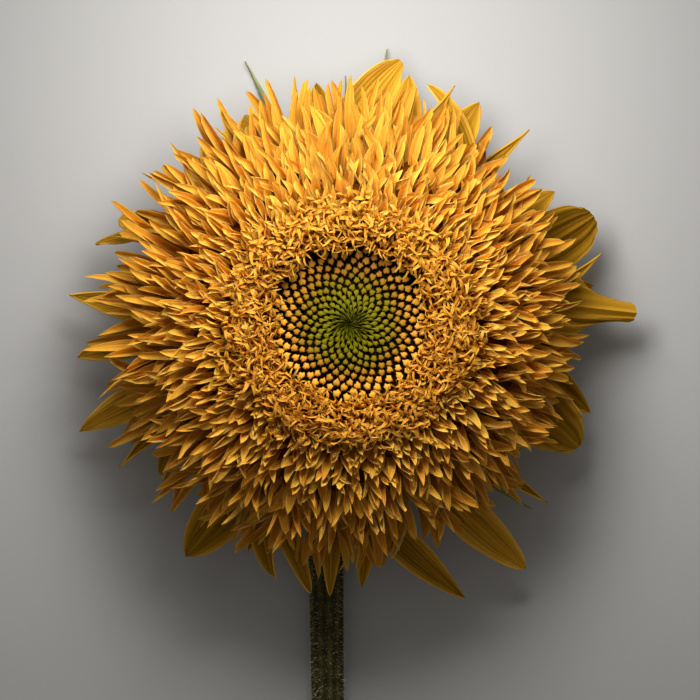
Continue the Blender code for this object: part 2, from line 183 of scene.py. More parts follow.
def plain_mesh(source, tree=None, sizes=None):
    """The evaluated form of an object, with the tree run on it, as a new plain mesh object."""
    if tree:
        runner = source.modifiers.new(tree.name, "NODES")
        runner.node_group = tree
        for item in tree.interface.items_tree:
            if item.name in sizes:
                runner[item.identifier] = sizes[item.name]
    bpy.context.view_layer.update()
    graph = bpy.context.evaluated_depsgraph_get()
    mesh = bpy.data.meshes.new_from_object(source.evaluated_get(graph))
    name = source.name
    bpy.data.objects.remove(source)
    mesh.shade_smooth()
    mesh.set_sharp_from_angle(angle=SHARP_ANGLE)
    return new_object(name, mesh)


def principled(name, roughness, **settings):
    """A new material: its tree, and its shader with the settings that hold all over it."""
    material = bpy.data.materials.new(name)
    material.use_nodes = True
    shader = material.node_tree.nodes["Principled BSDF"]
    shader.inputs["Roughness"].default_value = roughness
    for label, value in settings.items():
        shader.inputs[label.replace("_", " ").title().replace("Ior", "IOR")].default_value = value
    return material, material.node_tree, shader


def ramp(value, *stops):
    """A colour flow that runs through the stops, each a place and a linear colour."""
    made = node(value.tree, "ShaderNodeValToRGB", {0: value})
    elements = made.color_ramp.elements
    while len(elements) < len(stops):
        elements.new(1)
    for element, (place, colour) in zip(elements, stops):
        element.position = place
        element.color = (*colour, 1)
    return Flow(made.outputs[0])


def noise(vector, scale, detail=2):
    inputs = {"Vector": vector, "Scale": scale, "Detail": detail}
    return output_of(vector.tree, "ShaderNodeTexNoise", inputs)


def grain_of(tree, scale, detail=2):
    """Noise over object coordinates, which are the flower's own metres."""
    place = output_of(tree, "ShaderNodeTexCoord", output="Object")
    return noise(place, scale, detail)


def painted(tree, *names):
    """The values that a piece keeps under those names, as flows for its material."""
    kind = "ShaderNodeAttribute"
    return [output_of(tree, kind, output="Fac", attribute_name=name) for name in names]


def coloured(shader, colour):
    feed(shader.inputs["Base Color"], colour)


def bumped(shader, height, strength, distance):
    inputs = {"Height": height, "Strength": strength, "Distance": distance}
    feed(shader.inputs["Normal"], output_of(shader.id_data, "ShaderNodeBump", inputs))


def stem_material():
    """Dark green skin with brown blotches, paler along its ridges."""
    material, tree, shader = principled("stem skin", 0.6, specular_ior_level=0.15)
    spots = grain_of(tree, 330, 4)
    warts = grain_of(tree, 1900)
    (ridge,) = painted(tree, "ridge")
    tone = spots * 0.6 + ridge * 0.22 + warts * 0.3
    shadow, green, ridge_top = (0.014, 0.012, 0.003), (0.045, 0.038, 0.008), (0.13, 0.11, 0.03)
    coloured(shader, ramp(tone, (0.35, shadow), (0.55, green), (0.8, ridge_top)))
    bumped(shader, warts + spots, 0.7, 0.0004)
    return material


def grainy(name, roughness, dark, light, scale, detail=2, depth=0.0, **settings):
    """A material that goes from a dark to a light colour with a grain, which depth raises."""
    material, tree, shader = principled(name, roughness, **settings)
    grain = grain_of(tree, scale, detail)
    coloured(shader, ramp(grain, (0.3, dark), (0.7, light)))
    if depth:
        bumped(shader, grain, 0.6, depth)
    return material


# The spongy pale pith of the cut end, and the stiff hairs of stem and bracts
pith = grainy("cut pith", 0.85, (0.30, 0.33, 0.16), (0.62, 0.62, 0.42), 900, 3, 0.0004)
hair = grainy("stiff hair", 0.5, (0.42, 0.38, 0.25), (0.72, 0.68, 0.52), 400, 1)


def hairs_on(skin, allowed, density, length, seed):
    """Stiff tapered hairs that stand on a skin, leaning a little each its own way."""
    tree = skin.tree
    slimness, lean_reach, shortest, longest = 0.06, 0.45, 0.55, 1.2
    inputs = {"Mesh": skin, "Selection": allowed, "Density": density, "Seed": seed}
    scatter = node(tree, "GeometryNodeDistributePointsOnFaces", inputs)
    inputs = {0: (-lean_reach,) * 3, 1: (lean_reach,) * 3, 8: seed + 1}
    lean = output_of(tree, "FunctionNodeRandomValue", inputs, data_type="FLOAT_VECTOR")
    way = output_of(tree, "ShaderNodeVectorMath", {0: Flow(scatter.outputs["Normal"]), 1: lean})
    inputs = {2: shortest, 3: longest, 8: seed + 2}
    height = output_of(tree, "FunctionNodeRandomValue", inputs, 1) * length
    inputs = {"Vertices": 3, "Radius Top": 0.0, "Radius Bottom": slimness, "Depth": 1.0}
    inputs = {
        "Points": Flow(scatter.outputs["Points"]),
        "Instance": output_of(tree, "GeometryNodeMeshCone", inputs),
        "Rotation": output_of(tree, "FunctionNodeAlignRotationToVector", {"Vector": way}),
        "Scale": vector_of(height, height, height),
    }
    stand = output_of(tree, "GeometryNodeInstanceOnPoints", inputs)
    return dressed(realized(stand), hair)


def stem_route():
    """The knots of the stem's middle line, each a point and the radius there."""
    neck_knots, stem_knots = 9, 16
    sway, taper, flattened = 0.0035, 1.15, 0.0002
    swelling, swellings = 0.05, 9
    top = RECEPTACLE_BOTTOM - GAP
    lying = STEM_RADIUS - flattened
    bend = top - lying
    easing = 2.6 * bend
    route = []
    for step in range(neck_knots + 1):
        share = step / neck_knots
        turn = math.pi / 2 * share
        point = Vector((HEAD_X, HEAD_Y + bend * (math.cos(turn) - 1), top - bend * math.sin(turn)))
        radius = NECK_RADIUS + (STEM_RADIUS - NECK_RADIUS) * min(1, taper * share)
        route.append((point, radius))
    for step in range(1, stem_knots + 1):
        share = step / stem_knots
        reach = bend + share * (STEM_REACH - bend)
        ease = min(1, (reach - bend) / easing)
        aside = -STEM_OFFSET * ease * ease * (3 - 2 * ease) + sway * share * share
        radius = STEM_RADIUS * (1 + swelling * math.sin(swellings * share))
        route.append((Vector((HEAD_X + aside, HEAD_Y - reach, lying)), radius))
    return route


def stem_tree(sizes):
    tree, given = new_tree("Stem", sizes)
    bare_foot, bare_top = 0.0012, 0.002
    inputs = {"Resolution": given["Sides"], "Radius": 1.0}
    section = output_of(tree, "GeometryNodeCurvePrimitiveCircle", inputs)
    way = output_of(tree, "GeometryNodeSplineParameter")
    ridge = (way * math.tau * given["Ridges"]).cosine()
    section = stored(section, "ridge", ridge * 0.5 + 0.5)
    x, y, z = parts_of(output_of(tree, "GeometryNodeInputPosition"))
    swell = 1 + ridge * given["Ridge depth"]
    inputs = {
        "Curve": given["Geometry"],
        "Profile Curve": moved(section, vector_of(x * swell, y * swell, z)),
        "Scale": output_of(tree, "GeometryNodeInputRadius"),
        "Fill Caps": True,
    }
    skin = output_of(tree, "GeometryNodeCurveToMesh", inputs)
    x, y, z = parts_of(output_of(tree, "GeometryNodeInputPosition"))
    skin = moved(skin, vector_of(x, y, z.at_least(0).at_most(given["Top"])))
    _, along_stem, slant = parts_of(output_of(tree, "GeometryNodeInputNormal"))
    open_skin = slant.above(-0.5) * z.above(bare_foot) * z.below(given["Top"] - bare_top)
    hairs = hairs_on(skin, open_skin, given["Hair density"], given["Hair length"], seed=5)
    skin = dressed(skin, stem_material())
    at_cut = y.below(given["Cut"]) * along_stem.below(-0.9)
    return close_tree(tree, dressed(skin, pith, Selection=at_cut), hairs)


def build_stem():
    curve = bpy.data.curves.new("stem", "CURVE")
    curve.dimensions = "3D"
    curve.resolution_u = 6
    spline = curve.splines.new("BEZIER")
    route = stem_route()
    spline.bezier_points.add(len(route) - 1)
    for knot, (point, radius) in zip(spline.bezier_points, route):
        knot.co = point
        knot.radius = radius
        knot.handle_left_type = "AUTO"
        knot.handle_right_type = "AUTO"
    sizes = {
        "Sides": 48,
        "Ridges": 11.0,
        "Ridge depth": 0.025,
        "Top": RECEPTACLE_BOTTOM - GAP,
        "Cut": HEAD_Y - STEM_REACH + 0.0005,
        "Hair density": 900000.0,
        "Hair length": 0.0014,
    }
    stem = plain_mesh(new_object("hairy_stem", curve), stem_tree(sizes), sizes)
    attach(stem, "root")
    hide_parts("stem")


build_stem()

# The involucre: the fleshy green plate that carries every floret, with two rows of pointed
# bracts grown from its underside. The bracts arch down to the surface, hairy and veined, and
# a few long ones show their tips past the petals.

BRACT_COUNT = 26
DISC_RADIUS = 0.0225
RECEPTACLE_RADIUS = 0.0395
RECEPTACLE_TOP = 0.038
RECEPTACLE_SLOPE = 0.52
GOLDEN_ANGLE = math.pi * (3 - math.sqrt(5))
SEED = 11

# The bracts that show past the petals: azimuth in degrees, reach from the axis, sway
LONG_BRACTS = (
    (108, 0.0870, 0.10),
    (90, 0.0750, 0.03),
    (83, 0.0850, -0.02),
    (307, 0.0795, 0.21),
)
RESTING_BRACTS = (38, 142)  # azimuths in degrees of those that the head rests on


@dataclass
class Blade:
    """How one bract or outer petal grows from its root. Angles are in radians.

    bend turns it up evenly by its tip, and curl turns only its outer part. roll is how far
    its section closes to a tube, between roll_from and roll_full of its length, upwards or,
    below zero, downwards. ribs is the number of raised lines along it. wave is how uneven its
    edges are. blunt rounds its tip, end is the share of its width that the tip keeps, and
    notch splits it. tint is how light its colour is; on the outer petals it is partly their
    own tone and partly painted light and shade, lighter or darker as each one lay in the light.
    """

    azimuth: float
    radius: float
    height: float
    pitch: float
    length: float
    width: float
    bend: float = 0.0
    curl: float = 0.0
    curl_from: float = 0.55
    yaw: float = 0.0
    sway: float = 0.0
    twist: float = 0.0
    roll: float = 0.35
    roll_from: float = 0.0
    roll_full: float = 0.33
    ribs: int = 5
    rib_height: float = 0.0002
    wave: float = 0.0
    blunt: float = 0.75
    end: float = 0.0
    notch: float = 0.0
    tint: float = 0.5


def polar(radius, azimuth, height=0.0):
    return Vector((radius * math.cos(azimuth), radius * math.sin(azimuth), height))


def smooth_step(share):
    share = min(max(share, 0), 1)
    return share * share * (3 - 2 * share)


def leaned(ahead, upright, angle):
    """Two directions at right angles, both leaned over by an angle."""
    cosine, sine = math.cos(angle), math.sin(angle)
    return cosine * ahead + sine * upright, cosine * upright - sine * ahead


def blade_corners(blade, outline, rows, columns):
    """Every corner of a blade's middle surface, with how far along and across it is."""
    narrowest, nearly_flat, sharpness = 0.00005, 0.01, 5
    upward = Vector((0, 0, 1))
    point = polar(blade.radius, blade.azimuth, blade.height) + Vector((HEAD_X, HEAD_Y, 0))
    step = blade.length / rows
    for row in range(rows + 1):
        along = row / rows
        curled = smooth_step((along - blade.curl_from) / (1 - blade.curl_from))
        slope = blade.pitch + blade.bend * along + blade.curl * curled
        heading = blade.azimuth + blade.yaw + 2 * blade.sway * along
        outward = polar(1, heading)
        sideways = polar(1, heading + math.pi / 2)
        forward, normal = leaned(outward, upward, slope)
        across, facing = leaned(sideways, normal, blade.twist * along)
        half = max(blade.width / 2 * max(outline(along, blade.blunt), blade.end), narrowest)
        closing = smooth_step((along - blade.roll_from) / (blade.roll_full - blade.roll_from))
        roll = blade.roll * closing or nearly_flat
        for column in range(columns + 1):
            side = 2 * column / columns - 1
            flat = half * math.sin(roll * side) / roll
            lift = half * (1 - math.cos(roll * side)) / roll
            # The ribs differ in height, and fade towards the tip and the edges
            rib = abs(math.cos(math.pi * blade.ribs * side / 2)) ** sharpness
            rib *= 0.65 + 0.35 * math.sin(4 * side + 15 * blade.tint)
            fade = min(1, 3.5 * (1 - along) + blade.end) * (1 - abs(side) ** 4)
            lift += blade.rib_height * rib * fade
            # The edges ripple in two waves of different length
            ripple = math.sin(11 * along + 2.2 * side + 9 * blade.tint)
            ripple += 0.6 * math.sin(23 * along - 3 * side + 5 * blade.tint)
            lift += blade.wave * half * ripple * side * side * min(1, 2 * along)
            # A notch draws the middle of the tip back, and a broad end its corners
            back = blade.notch * blade.length * math.exp(-((side / 0.28) ** 2)) * along**6
            back += 0.12 * blade.end * blade.length * side * side * along**8
            corner = point + flat * across + lift * facing - back * forward
            yield corner, along, side, rib * fade
        middle_slope = slope + (blade.bend + blade.curl * (curled > 0)) * 0.5 / rows
        forward, _ = leaned(outward, upward, middle_slope)
        point = point + forward * step


def blades_object(name, blades, outline, rows, columns, thickness, floor=None):
    """All the blades as one mesh of closed shells, with what the materials ask for on it."""
    form = bmesh.new()
    labels = ("along", "across", "rib", "tint")
    layers = [form.verts.layers.float.new(label) for label in labels]
    for blade in blades:
        corners = []
        for place, *traits in blade_corners(blade, outline, rows, columns):
            if floor is not None:
                place.z = max(place.z, floor + thickness / 2)
            corner = form.verts.new(place)
            for layer, value in zip(layers, (*traits, blade.tint)):
                corner[layer] = value
            corners.append(corner)
        for row in range(rows):
            for column in range(columns):
                first = row * (columns + 1) + column
                above = first + columns + 1
                quad = (first, above, above + 1, first + 1)
                form.faces.new([corners[index] for index in quad])
    mesh = bpy.data.meshes.new(name)
    form.to_mesh(mesh)
    form.free()
    made = new_object(name, mesh)
    shell = made.modifiers.new("Thickness", "SOLIDIFY")
    shell.thickness = thickness
    shell.offset = 0
    return made


def bract_outline(along, blunt):
    """Broad near the foot, drawn out to a long thin tip."""
    return (1 - along) ** blunt * (0.8 + 0.9 * along)


def mixed(share, colour, other, blend="MIX"):
    """A colour flow with a share of another colour mixed in."""
    inputs = {0: share, 6: colour, 7: other}
    settings = {"data_type": "RGBA", "blend_type": blend}
    return output_of(colour.tree, "ShaderNodeMix", inputs, 2, **settings)


def bract_material():
    """Leafy green with a paler middle vein, side veins and a pale tip."""
    material, tree, shader = principled("bract green", 0.55)
    along, across, tint = painted(tree, "along", "across", "tint")
    tone = grain_of(tree, 220, 4) * 0.4 + along * along * 0.45 + tint * 0.25
    leaf = ramp(
        tone,
        (0.2, (0.030, 0.055, 0.010)),
        (0.5, (0.085, 0.135, 0.020)),
        (0.7, (0.20, 0.24, 0.045)),
        (0.95, (0.46, 0.46, 0.20)),
    )
    middle_vein = (across * across * -90).power_of_e() * 0.6
    coloured(shader, mixed(middle_vein, leaf, (0.30, 0.34, 0.10, 1)))
    side_veins = (across * 18 + along * -14).sine() * 0.5
    bumped(shader, side_veins + grain_of(tree, 1400), 0.45, 0.0003)
    return material


def receptacle_top(radius):
    return RECEPTACLE_TOP - RECEPTACLE_SLOPE * max(0, radius - DISC_RADIUS)


def receptacle_profile():
    """The plate's section, with rounded shoulders, from its top middle to its foot."""
    rim = receptacle_top(RECEPTACLE_RADIUS)
    return [
        (0, RECEPTACLE_TOP),
        (DISC_RADIUS, RECEPTACLE_TOP),
        (RECEPTACLE_RADIUS - 0.0006, rim + 0.0003),
        (RECEPTACLE_RADIUS, rim - 0.0006),
        (RECEPTACLE_RADIUS, rim - 0.0026),
        (0.0388, rim - 0.0036),
        (0.034, 0.0236),
        (0.028, 0.0218),
        (0.022, 0.0208),
        (0.015, 0.0202),
        (0.009, RECEPTACLE_BOTTOM),
        (0, RECEPTACLE_BOTTOM),
    ]


def turned(name, profile, is_ring, sides):
    """A section of radius and height points turned round the head's axis, welded."""
    last = len(profile) - 1
    edges = [(index, index + 1) for index in range(last)]
    if is_ring:
        edges.append((last, 0))
    mesh = bpy.data.meshes.new(name)
    mesh.from_pydata([(radius, 0, height) for radius, height in profile], edges, [])
    made = new_object(name, mesh)
    screw = made.modifiers.new("Turn", "SCREW")
    screw.steps = sides
    screw.render_steps = sides
    screw.use_merge_vertices = True
    screw.merge_threshold = 1e-5
    made = plain_mesh(made)
    form = bmesh.new()
    form.from_mesh(made.data)
    bmesh.ops.remove_doubles(form, verts=form.verts, dist=1e-6)
    bmesh.ops.recalc_face_normals(form, faces=form.faces)
    bmesh.ops.translate(form, verts=form.verts, vec=(HEAD_X, HEAD_Y, 0))
    form.to_mesh(made.data)
    form.free()
    return made


def joined(skin, first, second):
    """Both objects as one, in one material, by a mesh that holds all their faces."""
    form = bmesh.new()
    form.from_mesh(first.data)
    form.from_mesh(second.data)
    form.to_mesh(first.data)
    form.free()
    bpy.data.objects.remove(second)
    first.data.materials.clear()
    first.data.materials.append(skin)
    return first


def bracts():
    """The bracts where the solid has them, by the same rule and the same draws."""
    draw = random.Random(SEED)
    width, height, stem_gap = 0.0135, 0.0235, 0.36
    grown = []
    for index in range(BRACT_COUNT):
        azimuth = index * GOLDEN_ANGLE
        is_upper = index < BRACT_COUNT / 2
        over_stem = abs(math.cos(azimuth)) < stem_gap and math.sin(azimuth) < 0
        length = draw.uniform(0.034, 0.041)
        pitch = draw.uniform(-26, -21) if is_upper else draw.uniform(-31, -26)
        bend = draw.uniform(-20, -8)
        if over_stem:
            pitch = -13 if is_upper else -16
            bend = -4
        bract = Blade(
            azimuth=azimuth,
            radius=0.031 if is_upper else 0.025,
            height=0.0246 if is_upper else 0.0226,
            pitch=math.radians(pitch),
            length=length,
            width=width,
            bend=math.radians(bend),
            sway=draw.uniform(-0.06, 0.06),
            twist=draw.uniform(-0.2, 0.2),
            tint=(index * 0.37) % 1,
        )
        grown.append(bract)
    for degrees, reach, sway in LONG_BRACTS:
        bract = Blade(
            azimuth=math.radians(degrees),
            radius=0.029,
            height=height,
            pitch=math.radians(-34),
            length=reach - 0.025,
            width=0.006,
            bend=math.radians(22),
            curl=0.5,
            curl_from=0.8,
            sway=sway,
            twist=0.3,
            tint=1.0,
        )
        grown.append(bract)
    for degrees in RESTING_BRACTS:
        bract = Blade(
            azimuth=math.radians(degrees),
            radius=0.030,
            height=height,
            pitch=math.radians(-47),
            length=0.040,
            width=width,
            bend=math.radians(26),
            sway=0.03,
        )
        grown.append(bract)
    for blade in grown:
        blade.roll, blade.wave, blade.blunt = 0.3, 0.05, 1.15
        blade.ribs, blade.rib_height = 3, 0.00025
    return grown


def hairy_tree(sizes):
    tree, given = new_tree("Bract hairs", sizes)
    bare_foot = 0.0018
    skin = given["Geometry"]
    _, _, height = parts_of(output_of(tree, "GeometryNodeInputPosition"))
    open_skin = height.above(bare_foot)
    hairs = hairs_on(skin, open_skin, given["Hair density"], given["Hair length"], seed=9)
    return close_tree(tree, skin, hairs)


def build_involucre():
    blades = blades_object(
        "bracts", bracts(), bract_outline, rows=22, columns=8, thickness=0.0010, floor=0.0
    )
    plate = turned("involucre_green", receptacle_profile(), is_ring=False, sides=72)
    whole = joined(bract_material(), plate, plain_mesh(blades))
    sizes = {"Hair density": 260000.0, "Hair length": 0.0011}
    whole = plain_mesh(whole, hairy_tree(sizes), sizes)
    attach(whole, "root")
    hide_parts("involucre")


build_involucre()

# The outer petals: the broad sterile rays of the outermost circle, ribbed and thin, no two
# alike. Some lie flat, some curl over or twist, and one is rolled into a thick tube. They
# grow from a narrow ring round the receptacle's rim.


def petal_outline(along, blunt):
    """A narrow foot, a full middle and a tip that blunt makes round."""
    if along < 0.5:
        return 0.45 + 0.55 * math.sin(math.pi * along)
    return math.cos(math.pi * (along - 0.5)) ** blunt


def ray(degrees, reach, width, tip_height, slant=0, sway=0.0, twist=0, **shape):
    """An outer petal from the ring to a tip at that azimuth, reach and height.

    slant is how far the petal leads away from the straight way out at its tip.
    """
    root_radius = RECEPTACLE_RADIUS + 0.0022
    root_height = 0.0255
    first_rise, bend = math.radians(6), math.radians(-12)
    lean = math.radians(slant)
    heading = math.radians(degrees) + lean
    across = reach * math.sin(lean)
    run = reach * math.cos(lean) - math.sqrt(root_radius**2 - across**2)
    root = polar(reach, math.radians(degrees)) - polar(run, heading)
    azimuth = math.atan2(root.y, root.x)
    drop = root_height - tip_height
    made = Blade(
        azimuth=azimuth,
        radius=root_radius,
        height=root_height,
        pitch=first_rise - math.atan2(drop, run),
        length=math.hypot(run, drop),
        width=width,
        bend=bend,
        yaw=heading - azimuth - sway,
        sway=sway,
        twist=math.radians(twist),
        tint=(degrees * 0.137) % 1,
        wave=0.10,
    )
    for trait, value in shape.items():
        setattr(made, trait, value)
    return made


ROLLED = dict(roll=-2.8, roll_from=0.45, roll_full=0.86, blunt=0.2, end=0.72, ribs=7, tint=1.5)
# BROAD's low tint darkens it as painted shade
BROAD = dict(ribs=5, rib_height=0.0012, blunt=0.3, end=0.5, roll=0.4, wave=0.05, tint=-0.2)
FINE_RIBS = dict(ribs=9, rib_height=0.0004)
SPREAD = dict(blunt=0.45, end=0.3, roll=0.8, tint=1.8, **FINE_RIBS)
CRINKLED = dict(wave=0.40, ribs=7, rib_height=0.0007, blunt=0.38, end=0.3, tint=1.2)
SPIKE = dict(roll=1.3, ribs=1, blunt=1.2, tint=0.9)
OLIVE = dict(blunt=0.6, roll=0.7, tint=1.0, rib_height=0.0012)

# The tints below are partly each ray's own tone and partly painted light and shade: rays that lay
# in the light are made lighter, the broad one darker.
RAYS = (
    ray(2.2, 0.0857, 0.0220, 0.0130, -8, 0.0, 0, rib_height=0.0016, **ROLLED),
    ray(9, 0.0738, 0.0110, 0.0120, 2, 0.02, -10),
    ray(15.7, 0.0776, 0.0050, 0.0180, 18, 0.12, 20, **SPIKE),
    ray(24, 0.0797, 0.0190, 0.0125, 5, 0.10, 6, **BROAD),
    ray(33, 0.0730, 0.0110, 0.0120, -2, 0.04, -12, tint=1.3),
    ray(47.3, 0.0785, 0.0050, 0.0200, -8, 0.04, 20, **SPIKE),
    ray(59.8, 0.0764, 0.0125, 0.0170, -4, 0.04, 10, roll=0.6, tint=1.4),
    ray(66.3, 0.0772, 0.0050, 0.0210, -12, 0.02, 30, **SPIKE),
    ray(74.5, 0.0775, 0.0058, 0.0190, 28, 0.7, 20, blunt=0.5, roll=0.8, tint=1.5),
    ray(76.6, 0.0760, 0.0120, 0.0170, 6, 0.02, -8, roll=0.6, tint=1.5),
    ray(78.3, 0.0805, 0.0155, 0.0150, -16, -0.35, 18, **SPREAD),
    ray(98, 0.0730, 0.0100, 0.0110, -3, 0.04, -8),
    ray(122, 0.0770, 0.0125, 0.0110, 8, 0.12, 12, curl=-1.9, roll=0.7, tint=1.6),
    ray(156, 0.0750, 0.0130, 0.0240, 8, 0.05, 20, wave=0.3, blunt=0.5, end=0.3, tint=1.3),
    ray(163, 0.0800, 0.0048, 0.0130, 20, 0.22, 40, blunt=0.4, end=0.4, wave=0.3, tint=1.4),
    ray(174, 0.0845, 0.0090, 0.0130, -4, -0.03, -8, roll=0.7, blunt=0.95, tint=1.4),
    ray(187, 0.0824, 0.0100, 0.0120, 6, 0.05, 10, roll=0.5, tint=1.4),
    ray(201.7, 0.0873, 0.0110, 0.0110, 5, 0.06, -10, wave=0.3, tint=2.0, **FINE_RIBS),
    ray(212, 0.0814, 0.0060, 0.0120, 8, 0.06, 34, **SPIKE),
    ray(223, 0.0800, 0.0060, 0.0120, 14, 0.45, 60, curl=-1.5, curl_from=0.6, roll=0.9),
    ray(234.8, 0.0854, 0.0165, 0.0110, -6, 0.05, -6, **OLIVE),
    ray(246, 0.0750, 0.0085, 0.0130, 4, 0.03, 10, roll=0.8, blunt=1.1),
    ray(255, 0.0830, 0.0100, 0.0150, 26, 0.05, 50, curl=-1.9, curl_from=0.80, roll=0.9),
    ray(261.8, 0.0812, 0.0080, 0.0170, 28, 0.02, -10, blunt=0.6, tint=1.4, **FINE_RIBS),
    ray(265.8, 0.0812, 0.0064, 0.0178, 2, 0.02, -6, tint=1.4),
    ray(272.5, 0.0786, 0.0075, 0.0170, -6, -0.04, 10, tint=1.2),
    ray(293, 0.0893, 0.0110, 0.0110, 22, 0.12, -16, notch=0.1, roll=0.7, tint=1.2, **FINE_RIBS),
    ray(305.8, 0.0905, 0.0130, 0.0105, 10, 0.05, 8, blunt=0.6, roll=0.5, tint=1.9, **FINE_RIBS),
    ray(318, 0.0800, 0.0055, 0.0110, 6, 0.10, -28, **SPIKE),
    ray(331.5, 0.0778, 0.0200, 0.0120, -8, -0.12, 12, **CRINKLED),
    ray(339.5, 0.0768, 0.0105, 0.0130, -14, -0.10, -20, roll=0.8, ribs=3, rib_height=0.0006),
)


def petal_material(name, stops, vein_lines, rib_tone):
    """Petal skin: deeper at the foot, lighter at the tip, with a painted highlight along the edges
    and fine lines along it.
    """
    material, tree, shader = principled(
        name,
        0.6,
        specular_ior_level=0.0,
        subsurface_weight=0.5,
        subsurface_radius=(1.0, 0.75, 0.35),
        subsurface_scale=0.0005,
    )
    along, across, rib, tint = painted(tree, "along", "across", "rib", "tint")
    streaks = noise(vector_of(across * 7, along * 1.3, tint * 60), 1.0, 3)
    # edge and rim make the edges lighter: a painted highlight where the raised edges catch the
    # light and glow through
    edge = across * across
    rim = edge * edge
    from_groove = across.size() - 0.36
    groove = (from_groove * from_groove * -90).power_of_e()
    tone = along * 0.32 + rim * 0.5 + (tint - 0.5) * 0.25 + (streaks - 0.5) * 0.5
    tone = tone + rib * rib_tone - groove * 0.12
    coloured(shader, ramp(tone, *stops))
    lines = (across * vein_lines + streaks * 4).sine() * 0.5 - groove
    bumped(shader, lines + grain_of(tree, 1700), 0.5, 0.00025)
    return material


def build_rays():
    stops = (
        (0.0, (0.15, 0.065, 0.003)),
        (0.35, (0.31, 0.155, 0.008)),
        (0.65, (0.60, 0.30, 0.022)),
        (1.0, (0.86, 0.47, 0.06)),
    )
    skin = petal_material("ray yellow", stops, vein_lines=30, rib_tone=0.28)
    petals = blades_object("rays", RAYS, petal_outline, rows=26, columns=32, thickness=0.0005)
    inner, outer = RECEPTACLE_RADIUS + GAP, 0.0432
    profile = [(outer, 0.0266), (outer, 0.0243), (inner, 0.0241), (inner, 0.0268)]
    ring = turned("outer_petals", profile, is_ring=True, sides=72)
    whole = plain_mesh(joined(skin, ring, plain_mesh(petals)))
    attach(whole, "root")
    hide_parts("ray_petals")


build_rays()

# The petal-like florets: about two thousand narrow channelled petals, short and steep near the
# disc, longer and lower towards the rim, which overlap like scales and make the round mass of
# the head. Geometry Nodes bend each one out of a closed cone by a formula.

HEAD_REACH = 0.0757
TUBE_ZONE_RADIUS = 0.036
SHOULDER_RADIUS = 0.029
SHOULDER_HALF_WIDTH = 0.024
SHOULDER_HALF_HEIGHT = 0.022
SHOULDER_HEIGHT = 0.031


def lots(number, seed):
    """A function that draws a random value for each number, the same in every run.

    Its last argument tells one kind of draw from the others.
    """

    def draw(low, high, kind):
        inputs = {2: low, 3: high, 7: number, 8: seed + kind}
        return output_of(number.tree, "FunctionNodeRandomValue", inputs, 1)

    return draw


def between(given, trait, share):
    """The size of a trait that goes evenly from its first size to its last."""
    first = given["First " + trait]
    return first + (given["Last " + trait] - first) * share


def cones(tree, count, sides, rows):
    """Closed cones of unit size, all in one place, and what each of their vertices keeps.

    That is its cone's number, its place along the cone, and its places across and through it.
    """
    inputs = {"Vertices": sides, "Side Segments": rows}
    inputs.update({"Radius Top": 0.0, "Radius Bottom": 1.0, "Depth": 1.0})
    shape = output_of(tree, "GeometryNodeMeshCone", inputs)
    x, y, z = parts_of(output_of(tree, "GeometryNodeInputPosition"))
    taper = (1 - z).at_least(0.0001)
    for name, value in (("along", z), ("across", x / taper), ("face", y / taper)):
        shape = stored(shape, name, value)
    points = output_of(tree, "GeometryNodePoints", {"Count": count})
    inputs = {"Points": points, "Instance": shape}
    copies = output_of(tree, "GeometryNodeInstanceOnPoints", inputs)
    number = output_of(tree, "GeometryNodeInputIndex")
    kept = [realized(stored(copies, "number", number, "INSTANCE"))]
    for name in ("number", "along", "across", "face"):
        kept.append(output_of(tree, "GeometryNodeInputNamedAttribute", {"Name": name}))
    return kept


def spun(x, y, angle):
    """Two parts of a place, turned by an angle."""
    cosine, sine = angle.cosine(), angle.sine()
    return x * cosine - y * sine, x * sine + y * cosine


def around_head(outward, sideways, upward, azimuth):
    """The place that lies so far outward, sideways and up at an azimuth round the head."""
    x, y = spun(outward, sideways, azimuth)
    return vector_of(x + HEAD_X, y + HEAD_Y, upward)


